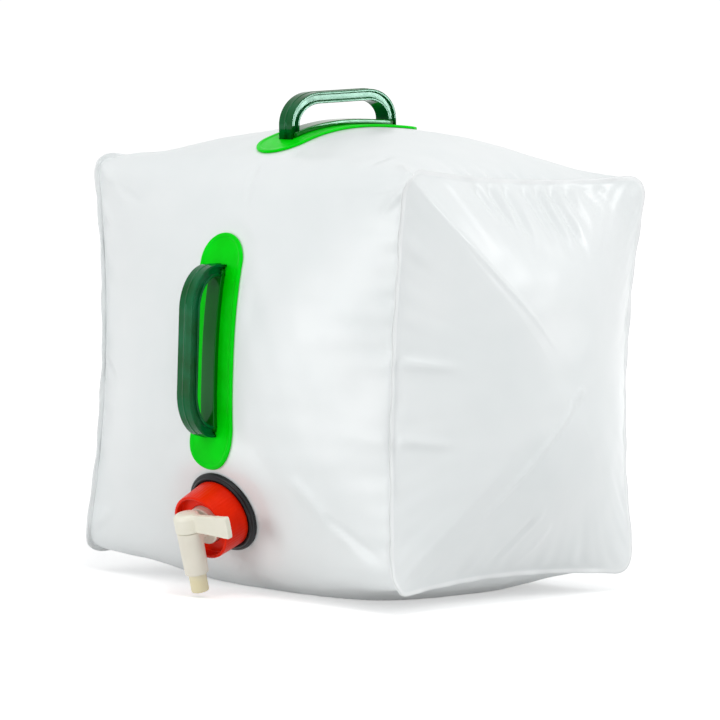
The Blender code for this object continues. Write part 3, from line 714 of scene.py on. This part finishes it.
def filleted(outline, radius):
    """A closed outline with its corners rounded; corners on the axis stay sharp."""
    outline = [np.array(point, float) for point in outline]
    rounded = []
    for i, corner in enumerate(outline):
        before, after = outline[i - 1], outline[(i + 1) % len(outline)]
        if corner[0] == 0:
            rounded.append(corner)
            continue
        back, ahead = before - corner, after - corner
        start = corner + back * min(ROUND_SHARE, radius / np.linalg.norm(back))
        end = corner + ahead * min(ROUND_SHARE, radius / np.linalg.norm(ahead))
        for s in np.linspace(0, 1, ROUND_STOPS):
            rounded.append(start * (1 - s) ** 2 + corner * 2 * s * (1 - s) + end * s * s)
    return np.array(rounded)


def grip_section():
    """Across and outward places round the grip: ribs, a channel on each side, a fine ridge."""
    wide = GRIP_WIDTH / 2
    thick = GRIP_THICKNESS / 2
    web = wide - GRIP_CHANNEL
    rib = thick - GRIP_RIB
    right = [(wide, -thick), (wide, -rib), (web, -rib), (web, rib), (wide, rib), (wide, thick)]
    right += [(2 * GRIP_RIDGE, thick), (GRIP_RIDGE, thick + GRIP_RIDGE)]
    left = [(-across, outward) for across, outward in right[::-1]]
    return filleted(right + left, RIB_ROUND)


def grip_path(size):
    """Middle line of the grip over its frame: (along, up, outward direction) at each stop.

    The feet have no height of their own, because they follow the film.
    """
    reach = (size * GRIP_LENGTH - GRIP_THICKNESS) / 2
    top = size * GRIP_STANDOFF - GRIP_THICKNESS / 2
    legs = []
    for way in (-1, 1):
        leg = [(way * reach, None, (way, 0))]
        for turn in np.linspace(0, math.pi / 2, GRIP_CORNER_STOPS):
            along = way * (reach - size * GRIP_CORNER_RUN * (1 - math.cos(turn)))
            up = top - size * GRIP_CORNER_RISE * (1 - math.sin(turn))
            out = Vector((GRIP_CORNER_RISE * math.cos(turn), GRIP_CORNER_RUN * math.sin(turn)))
            out.normalize()
            leg.append((along, up, (way * out.x, out.y)))
        legs.append(leg)
    return legs[0] + legs[1][::-1]


def lofted(sections):
    """Vertices and faces of a solid through closed sections, with flat ends."""
    count = len(sections[0])
    last = (len(sections) - 1) * count
    faces = []
    for low in range(0, last, count):
        for j in range(count):
            k = (j + 1) % count
            faces.append((low + j, low + k, low + count + k, low + count + j))
    faces.append(tuple(range(count)))
    faces.append(tuple(range(last, last + count)))
    return np.concatenate(sections), faces


def arched_bar(film, middle, size, handle):
    """The grip's bar from foot to foot. The feet stand on the plate."""
    across, outward = grip_section().T
    sections = []
    for along, up, out in grip_path(size):
        place = along + out[0] * outward
        if up is None:
            foot = over_film(film, across, middle + place, PLATE_SEAT)
            height = moved(foot, handle.inverted())[:, 2]
        else:
            height = up + out[1] * outward
        sections.append(moved(np.stack([across, place, height], 1), handle))
    return lofted(sections)


def base_bar(film, middle, size):
    """The strip between the grip's feet, lying on the plate."""
    wide = GRIP_WIDTH / 2
    low, high = PLATE_SEAT, PLATE_SEAT + BASE_BAR
    corners = ((-wide, low), (wide, low), (wide, high), (-wide, high))
    across, height = filleted(corners, EDGE_ROUND).T
    half = (size * GRIP_LENGTH - GRIP_THICKNESS) / 2
    stops = steps_to(-half, half, CELL)
    return lofted([over_film(film, across, middle + along, height) for along in stops])


def build_grip(name, film, middle, run, size):
    """The arched bar and the base bar that it stands on."""
    origin = Vector(over_film(film, 0, middle, GAP + PLATE_THICKNESS))
    across = Vector((1, 0, 0))
    handle = axes_matrix(across, run, across.cross(run), origin)
    vertices, faces = arched_bar(film, middle, size, handle)
    bar_vertices, bar_faces = base_bar(film, middle, size)
    faces += [tuple(i + len(vertices) for i in face) for face in bar_faces]
    weld = np.repeat([0.0, 1.0], [len(vertices), len(bar_vertices)])
    points = np.concatenate([vertices, bar_vertices])
    obj = solid_object(f"{name}_shown", points, faces, weld=weld)
    dressed(obj, "bag", "grip_green", name)
    weighted(obj)


def build_handles():
    backward = Vector((0, math.cos(TOP_GRIP_TILT), math.sin(TOP_GRIP_TILT)))
    for name, film, middle, run, size in (
        ("front_handle", front_film, FRONT_HANDLE_RISE, Vector((0, 0, 1)), 1),
        ("top_handle", top_film, -TOP_HANDLE_ADVANCE, backward, TOP_HANDLE_SHARE),
    ):
        build_plate(f"{name}_plate", film, middle, size)
        build_grip(f"{name}_grip", film, middle, run, size)


# Neck, cap and tap


def turned(outline, ripple=None):
    """Vertices and faces of a solid turned about Z from a closed outline of (radius, height)."""
    outline = np.asarray(outline, float)
    turn = 2 * math.pi * np.arange(ROUND_STEPS)[:, None] / ROUND_STEPS
    radius = outline[:, 0] + (ripple(outline, turn) if ripple else 0 * turn)
    x, y = radius * np.cos(turn), radius * np.sin(turn)
    points = np.stack([x, y, outline[:, 1] + 0 * x], axis=-1)
    points = np.concatenate([points, points[:, :1]], axis=1)
    return points.reshape(-1, 3), grid_faces(*points.shape[:2])


def turned_object(name, outline, matrix, ripple=None):
    vertices, faces = turned(outline, ripple)
    return solid_object(name, moved(vertices, matrix), faces, True)


def build_clamp_ring():
    inner_bead = CLAMP_BEAD_RADIUS - CLAMP_BEAD_WIDTH / 2
    outer_bead = CLAMP_BEAD_RADIUS + CLAMP_BEAD_WIDTH / 2
    crown = CLAMP_FRONT + CLAMP_BEAD_HEIGHT
    ease = CLAMP_BEAD_WIDTH / 4
    outline = [
        (SHOULDER_RADIUS + GAP, GAP),
        (CLAMP_RADIUS, GAP),
        (CLAMP_RADIUS, CLAMP_FRONT - CLAMP_THICKNESS / 3),
        (CLAMP_RADIUS - CLAMP_THICKNESS / 3, CLAMP_FRONT),
        (outer_bead, CLAMP_FRONT),
        (outer_bead - ease, crown),
        (inner_bead + ease, crown),
        (inner_bead, CLAMP_FRONT),
        (SHOULDER_RADIUS + GAP, CLAMP_FRONT),
    ]
    obj = turned_object("clamp_ring_shown", filleted(outline, EDGE_ROUND), TAP)
    dressed(obj, "bag", "black", "clamp_ring")
    weighted(obj)


def cap_ripple(outline, turn):
    """Fine ribs round the cap's side."""
    outside = outline[:, 0] > CAP_RIM_RADIUS - CUP_WALL / 4
    return outside * CAP_RIB_HEIGHT * np.cos(CAP_RIBS * turn)


def build_cap():
    low = CLAMP_FRONT + GAP
    bore = SHOULDER_RADIUS + THREAD_CLEARANCE
    outline = [
        (bore, low),
        (CAP_BASE_RADIUS, low),
        (CAP_RIM_RADIUS, CUP_RIM),
        (CAP_RIM_RADIUS - CUP_WALL, CUP_RIM),
        (CAP_RIM_RADIUS - CUP_WALL, WEB_FRONT),
        (BARREL_RADIUS + GAP, WEB_FRONT),
        (BARREL_RADIUS + GAP, WEB_BACK),
        (bore, WEB_BACK),
    ]
    obj = turned_object("screw_cap_shown", filleted(outline, EDGE_ROUND), TAP, cap_ripple)
    dressed(obj, "cap", "red", "screw_cap")
    weighted(obj)


def rod(radius, low, high, top_radius=None):
    """Vertices and faces of a rod along Z, which may taper."""
    return turned([(0, low), (radius, low), (top_radius or radius, high), (0, high)])


def combine(obj, vertices, faces, matrix, operation):
    """Join a shape to an object, or cut it out."""
    tool = solid_object("tool", moved(vertices, matrix), faces, True)
    boolean = obj.modifiers.new(operation, "BOOLEAN")
    boolean.object = tool
    boolean.operation = operation
    boolean.solver = "EXACT"
    apply_modifiers(obj)
    bpy.data.objects.remove(tool)


def apply_modifiers(obj):
    bpy.context.view_layer.update()
    graph = bpy.context.evaluated_depsgraph_get()
    mesh = bpy.data.meshes.new_from_object(obj.evaluated_get(graph))
    obj.modifiers.clear()
    obj.data = mesh


def moulded(obj):
    """Round every edge and inner corner a little, as a moulding has them."""
    remesh = obj.modifiers.new("Remesh", "REMESH")
    remesh.mode = "VOXEL"
    remesh.voxel_size = VOXEL
    smooth = obj.modifiers.new("Smooth", "SMOOTH")
    smooth.factor = SMOOTH_FACTOR
    smooth.iterations = SMOOTH_PASSES
    apply_modifiers(obj)
    obj.data.shade_smooth()


def build_tap_body():
    hollow = BARREL_RADIUS - BARREL_WALL
    bottom = BARREL_FRONT - BARREL_WALL
    flange = SHOULDER_RADIUS - THREAD_DEPTH
    outline = [
        (hollow, BODY_BACK),
        (flange, BODY_BACK),
        (flange, BODY_BACK + BODY_FLANGE),
        (BARREL_RADIUS, BODY_BACK + BODY_FLANGE),
        (BARREL_RADIUS, BARREL_FRONT),
        (0, BARREL_FRONT),
        (0, bottom),
        (hollow, bottom),
    ]
    obj = turned_object("tap_body_shown", outline, TAP)
    duct = TAP @ Matrix.Translation((0, -DUCT_DROP, 0))
    boss = rod(DUCT_BOSS_RADIUS, BARREL_FRONT - BARREL_WALL / 2, SLEEVE_AXIS)
    combine(obj, *boss, duct, "UNION")
    sleeve = rod(SLEEVE_END_RADIUS, -SLEEVE_DROP, SLEEVE_RISE - GAP, SLEEVE_TOP_RADIUS)
    combine(obj, *sleeve, SLEEVE, "UNION")
    bore = rod(SLEEVE_BORE_RADIUS, -SLEEVE_DROP - OVERRUN, SLEEVE_RISE + OVERRUN)
    combine(obj, *bore, SLEEVE, "DIFFERENCE")
    combine(obj, *rod(DUCT_RADIUS, bottom - OVERRUN, SLEEVE_AXIS), duct, "DIFFERENCE")
    moulded(obj)
    dressed(obj, "tap", "body_white", "tap_body")


def lever_outline():
    """The lever's blade seen from its side: places along it and up from its middle line."""
    shares = np.linspace(0, 1, LEVER_STOPS)
    along = HUB_RADIUS + (LEVER_REACH - HUB_RADIUS) * shares
    half = (LEVER_WAIST + (LEVER_END - LEVER_WAIST) * shares**LEVER_FLARE) / 2
    inner = (HUB_RADIUS / 2, LEVER_WAIST / 2)
    lower = [(inner[0], -inner[1]), *zip(along, -half)]
    upper = [*zip(along[::-1], half[::-1]), inner]
    return filleted(lower + upper, LEVER_END_ROUND)


def build_valve_plug():
    top = SLEEVE_RISE + HUB_HEIGHT
    end = -SLEEVE_DROP - NOZZLE
    outline = [
        (STEM_BORE_RADIUS, end),
        (STEM_RADIUS, end),
        (STEM_RADIUS, SLEEVE_RISE),
        (HUB_RADIUS, SLEEVE_RISE),
        (HUB_RADIUS, top - HUB_DOME),
        (HUB_RADIUS - HUB_DOME / 3, top - HUB_DOME / 3),
        (HUB_RADIUS - HUB_DOME, top),
        (0, top),
        (0, SLEEVE_RISE),
        (STEM_BORE_RADIUS, SLEEVE_RISE),
    ]
    obj = turned_object("valve_plug_shown", outline, SLEEVE)
    along, up = lever_outline().T
    middle = SLEEVE_RISE + LEVER_WAIST / 2
    sides = [np.full_like(along, side * LEVER_THICKNESS / 2) for side in (-1, 1)]
    blade = lofted([np.stack([along, y, middle + up], 1) for y in sides])
    combine(obj, *blade, SLEEVE, "UNION")
    aim = Matrix.Translation((0, 0, -DUCT_DROP)) @ Matrix.Rotation(-math.pi / 2, 4, "Y")
    combine(obj, *rod(DUCT_RADIUS, 0, STEM_RADIUS + OVERRUN), SLEEVE @ aim, "DIFFERENCE")
    moulded(obj)
    dressed(obj, "valve", "ivory", "valve_plug")


# Finishes

NOISE_RANGE = (0.3, 0.7)  # the part of a noise's values that is spread over a finish's range
FILM_COLOR = (0.82, 0.85, 0.85)
FILM_DARK = (0.80, 0.835, 0.835)
FILM_LIGHT = (0.84, 0.865, 0.865)
# painted highlight: the film's welded lips are coloured lighter, standing in for the light that a
# thin lip catches
FILM_LIP_HIGHLIGHT = (0.86, 0.88, 0.88)
FILM_ROUGHNESS = 0.36
FILM_ROUGHNESS_RANGE = (0.33, 0.38)
FILM_COLOR_NOISE = (14, 3)  # scale and detail, here and below
FILM_GLOSS_NOISE = (9, 1)
FILM_GRAIN_NOISE = (900, 2)
FILM_GRAIN = (0.15, 0.0002)  # strength and depth of the bump
PLASTIC_COLOR_NOISE = (60, 3)
PLASTIC_GLOSS_NOISE = (120, 3)
PLASTIC_GRAIN_NOISE = (700, 2)
PLASTIC_GRAIN = (0.05, 0.0001)
PLASTIC_ROUGHNESS_RANGE = (0.8, 1.2)  # shares of a plastic's own roughness
GLOSS = 0.5
WHITE = (1, 1, 1)
TEAL = (0.25, 1.0, 0.6)
PALE_TEAL = (0.5, 1.0, 0.8)
PALE_RED = (1, 0.4, 0.3)
GRIP_WELD = (0.0, 0.14, 0.002)
NOZZLE_YELLOW = (0.84, 0.76, 0.50)
# The plastics: dark and light colour, roughness, strength of the gloss and its tint
PLASTICS = {
    "plate_green": ((0.0, 0.62, 0.0), (0.0, 0.75, 0.004), 0.36, 0.12, TEAL),
    "grip_green": ((0.0, 0.065, 0.004), (0.0, 0.12, 0.035), 0.11, 0.25, PALE_TEAL),
    "black": ((0.007, 0.008, 0.009), (0.013, 0.016, 0.018), 0.38, 0.25, WHITE),
    "rubber": ((0.02, 0.02, 0.02), (0.03, 0.03, 0.03), 0.7, GLOSS, WHITE),
    "red": ((0.74, 0.012, 0.0), (0.90, 0.02, 0.0), 0.34, 0.2, PALE_RED),
    "body_white": ((0.81, 0.77, 0.66), (0.86, 0.82, 0.71), 0.35, GLOSS, WHITE),
    "ivory": ((0.84, 0.81, 0.68), (0.88, 0.85, 0.73), 0.32, GLOSS, WHITE),
}


def new_material(name, color, roughness):
    material = bpy.data.materials.new(name)
    material.use_nodes = True
    shader = shader_of(material)
    shader.inputs["Base Color"].default_value = (*color, 1)
    shader.inputs["Roughness"].default_value = roughness
    return material


def shader_of(material):
    return material.node_tree.nodes["Principled BSDF"]


def object_place(tree):
    """Places in an object's own frame."""
    return tree.nodes.new("ShaderNodeTexCoord").outputs["Object"]


def map_range(tree, source, low, high, start=0, end=1):
    """A value that goes from start to end while its source goes from low to high."""
    node = tree.nodes.new("ShaderNodeMapRange")
    for name, value in (("From Min", low), ("From Max", high), ("To Min", start), ("To Max", end)):
        node.inputs[name].default_value = value
    tree.links.new(source, node.inputs["Value"])
    return node.outputs["Result"]


def noise(material, scale, detail):
    tree = material.node_tree
    texture = tree.nodes.new("ShaderNodeTexNoise")
    texture.inputs["Scale"].default_value = scale
    texture.inputs["Detail"].default_value = detail
    tree.links.new(object_place(tree), texture.inputs["Vector"])
    return texture.outputs["Fac"]


def vary_roughness(material, source, low, high):
    tree = material.node_tree
    roughness = map_range(tree, source, *NOISE_RANGE, low, high)
    tree.links.new(roughness, shader_of(material).inputs["Roughness"])


def blend_color(material, share, color):
    """Change the base colour to another where the share is 1."""
    tree = material.node_tree
    base = shader_of(material).inputs["Base Color"]
    mix = tree.nodes.new("ShaderNodeMixRGB")
    mix.inputs["Color2"].default_value = (*color, 1)
    tree.links.new(share, mix.inputs["Fac"])
    tree.links.new(base.links[0].from_socket, mix.inputs["Color1"])
    tree.links.new(mix.outputs["Color"], base)


def vary_color(material, source, dark, light):
    tree = material.node_tree
    ramp = tree.nodes.new("ShaderNodeValToRGB")
    for element, position, color in zip(ramp.color_ramp.elements, NOISE_RANGE, (dark, light)):
        element.position = position
        element.color = (*color, 1)
    tree.links.new(source, ramp.inputs["Fac"])
    tree.links.new(ramp.outputs["Color"], shader_of(material).inputs["Base Color"])


def add_bump(material, source, strength, distance):
    tree = material.node_tree
    bump = tree.nodes.new("ShaderNodeBump")
    bump.inputs["Strength"].default_value = strength
    bump.inputs["Distance"].default_value = distance
    tree.links.new(source, bump.inputs["Height"])
    tree.links.new(bump.outputs["Normal"], shader_of(material).inputs["Normal"])


def paint_weld_color_and_lip_highlight(material, color):
    """Another colour where the mark on the mesh says that two layers are welded; on the film's
    lips it is a painted highlight.
    """
    weld = material.node_tree.nodes.new("ShaderNodeAttribute")
    weld.attribute_name = WELD
    blend_color(material, weld.outputs["Fac"], color)


def film_material():
    film = new_material("film", FILM_COLOR, FILM_ROUGHNESS)
    vary_color(film, noise(film, *FILM_COLOR_NOISE), FILM_DARK, FILM_LIGHT)
    vary_roughness(film, noise(film, *FILM_GLOSS_NOISE), *FILM_ROUGHNESS_RANGE)
    add_bump(film, noise(film, *FILM_GRAIN_NOISE), *FILM_GRAIN)
    # painted highlight along the film's welded lips
    paint_weld_color_and_lip_highlight(film, FILM_LIP_HIGHLIGHT)
    return film


def plastic_material(name, dark, light, roughness, gloss, tint):
    """A moulded plastic: soft changes of shade, uneven gloss and a fine grain."""
    plastic = new_material(name, light, roughness)
    shader_of(plastic).inputs["Specular IOR Level"].default_value = gloss
    shader_of(plastic).inputs["Specular Tint"].default_value = (*tint, 1)
    vary_color(plastic, noise(plastic, *PLASTIC_COLOR_NOISE), dark, light)
    least, most = PLASTIC_ROUGHNESS_RANGE
    uneven = noise(plastic, *PLASTIC_GLOSS_NOISE)
    vary_roughness(plastic, uneven, roughness * least, roughness * most)
    add_bump(plastic, noise(plastic, *PLASTIC_GRAIN_NOISE), *PLASTIC_GRAIN)
    return plastic


def color_nozzle(material):
    """The lever's plastic turns yellower towards the nozzle."""
    tree = material.node_tree
    split = tree.nodes.new("ShaderNodeSeparateXYZ")
    tree.links.new(object_place(tree), split.inputs["Vector"])
    low = map_range(tree, split.outputs["Z"], NOZZLE_TOP, NOZZLE_TOP / 2)
    blend_color(material, low, NOZZLE_YELLOW)


MATERIALS = {name: plastic_material(name, *finish) for name, finish in PLASTICS.items()}
MATERIALS["film"] = film_material()
paint_weld_color_and_lip_highlight(MATERIALS["grip_green"], GRIP_WELD)
color_nozzle(MATERIALS["ivory"])


def dressed(obj, body, finish, *nodes):
    """Give a piece its material, the body it moves with and the solids it stands for."""
    obj.data.materials.clear()
    obj.data.materials.append(MATERIALS[finish])
    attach(obj, body)
    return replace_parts(obj, *nodes)


def dress_solids():
    """The neck and its seals keep their solids and get these materials."""
    for name, finish in (
        ("neck_fitting", "black"),
        ("neck_gasket", "rubber"),
        ("cap_washer", "rubber"),
    ):
        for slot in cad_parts[name].material_slots:
            slot.material = MATERIALS[finish]


# Studio

SEEN_WORLD = (WHITE, 1.05)  # colour and strength of the surroundings, as they are seen
LIT_WORLD = ((0.98, 0.99, 1.0), 0.55)  # and as they light the object
SQUARE = ((-1, -1), (1, -1), (1, 1), (-1, 1))
FLOOR_HALF = 6
FLOOR_COLOR = (0.82, 0.82, 0.82)
FLOOR_ROUGHNESS = 0.9
GLOW_REACH = (0.5, 1.5)  # distances from the middle over which the floor's own light rises
GLOW_RANGE = (0.46, 1)
# Area lamps, all aimed at the bag's middle: name, place, size and power. The rim lamp rakes
# across the pleats, and the sheen lamp is mirrored in the top grip.
LAMPS = (
    ("overhead", (0.3, -0.3, 2.4), (2.0, 2.0), 7.5),
    ("front", (-0.4, -2.4, 0.26), (1.2, 0.5), 12),
    ("right", (1.1, -0.8, 2.2), (0.7, 0.7), 12.5),
    ("rim", (1.7, 1.35, 1.35), (0.4, 0.4), 10),
    ("sheen", (1.785, 1.84, 0.3), (0.21, 0.09), 2.3),
)


def seen_and_lit(tree, seen, lit):
    """One shader for what is seen, also in reflections, and one for what lights the object."""
    path = tree.nodes.new("ShaderNodeLightPath")
    mix = tree.nodes.new("ShaderNodeMixShader")
    share = path.outputs["Is Camera Ray"]
    for ray in ("Is Glossy Ray", "Is Transmission Ray"):
        either = tree.nodes.new("ShaderNodeMath")
        either.operation = "MAXIMUM"
        tree.links.new(share, either.inputs[0])
        tree.links.new(path.outputs[ray], either.inputs[1])
        share = either.outputs["Value"]
    tree.links.new(share, mix.inputs["Fac"])
    tree.links.new(lit, mix.inputs[1])
    tree.links.new(seen, mix.inputs[2])
    return mix.outputs["Shader"]


def background(tree, color, strength):
    node = tree.nodes.new("ShaderNodeBackground")
    node.inputs["Color"].default_value = (*color, 1)
    node.inputs["Strength"].default_value = strength
    return node.outputs["Background"]


def build_world():
    world = bpy.data.worlds.new("studio")
    bpy.context.scene.world = world
    world.use_nodes = True
    tree = world.node_tree
    tree.nodes.clear()
    out = tree.nodes.new("ShaderNodeOutputWorld")
    both = seen_and_lit(tree, background(tree, *SEEN_WORLD), background(tree, *LIT_WORLD))
    tree.links.new(both, out.inputs["Surface"])


def floor_glow(tree):
    """The floor's own light, which rises away from the object."""
    distance = tree.nodes.new("ShaderNodeVectorMath")
    distance.operation = "LENGTH"
    tree.links.new(object_place(tree), distance.inputs[0])
    return map_range(tree, distance.outputs["Value"], *GLOW_REACH, *GLOW_RANGE)


def build_floor():
    mesh = bpy.data.meshes.new("floor")
    corners = [(x * FLOOR_HALF, y * FLOOR_HALF, -GAP) for x, y in SQUARE]
    mesh.from_pydata(corners, [], [(0, 1, 2, 3)])
    floor = placed("floor", mesh)
    material = new_material("floor", FLOOR_COLOR, FLOOR_ROUGHNESS)
    tree = material.node_tree
    shader = shader_of(material)
    glow = tree.nodes.new("ShaderNodeEmission")
    tree.links.new(floor_glow(tree), glow.inputs["Strength"])
    added = tree.nodes.new("ShaderNodeAddShader")
    tree.links.new(shader.outputs["BSDF"], added.inputs[0])
    tree.links.new(glow.outputs["Emission"], added.inputs[1])
    surface = seen_and_lit(tree, added.outputs["Shader"], shader.outputs["BSDF"])
    tree.links.new(surface, tree.nodes["Material Output"].inputs["Surface"])
    mesh.materials.append(material)


def add_lamp(name, place, size, power):
    light = bpy.data.lights.new(name, "AREA")
    light.shape = "RECTANGLE"
    light.size, light.size_y = size
    light.energy = power
    lamp = placed(name, light)
    lamp.location = place
    aim = Vector((0, 0, MID_HEIGHT)) - lamp.location
    lamp.rotation_euler = aim.to_track_quat("-Z", "Y").to_euler()
    lamp.visible_camera = False


def build_studio():
    build_world()
    build_floor()
    for lamp in LAMPS:
        add_lamp(*lamp)


def build_camera():
    right = Vector((math.cos(AZIMUTH), math.sin(AZIMUTH), 0))
    level = Vector((math.sin(AZIMUTH), -math.cos(AZIMUTH), 0))
    back = level * math.cos(ELEVATION) + Vector((0, 0, math.sin(ELEVATION)))
    camera = placed("camera", bpy.data.cameras.new("camera"))
    camera.data.lens = LENS
    camera.data.sensor_width = SENSOR
    place = Vector((0, 0, AIM_HEIGHT)) + right * AIM_SHIFT + back * DISTANCE
    upright = axes_matrix(right, back.cross(right), back, place)
    camera.matrix_world = upright @ Matrix.Rotation(ROLL, 4, "Z")
    bpy.context.scene.camera = camera


def main():
    build_band()
    build_side("film_right_side", 1)
    build_side("film_left_side", -1)
    build_handles()
    build_clamp_ring()
    build_cap()
    build_tap_body()
    build_valve_plug()
    dress_solids()
    build_studio()
    build_camera()
    bpy.context.scene.view_settings.view_transform = "Standard"


main()
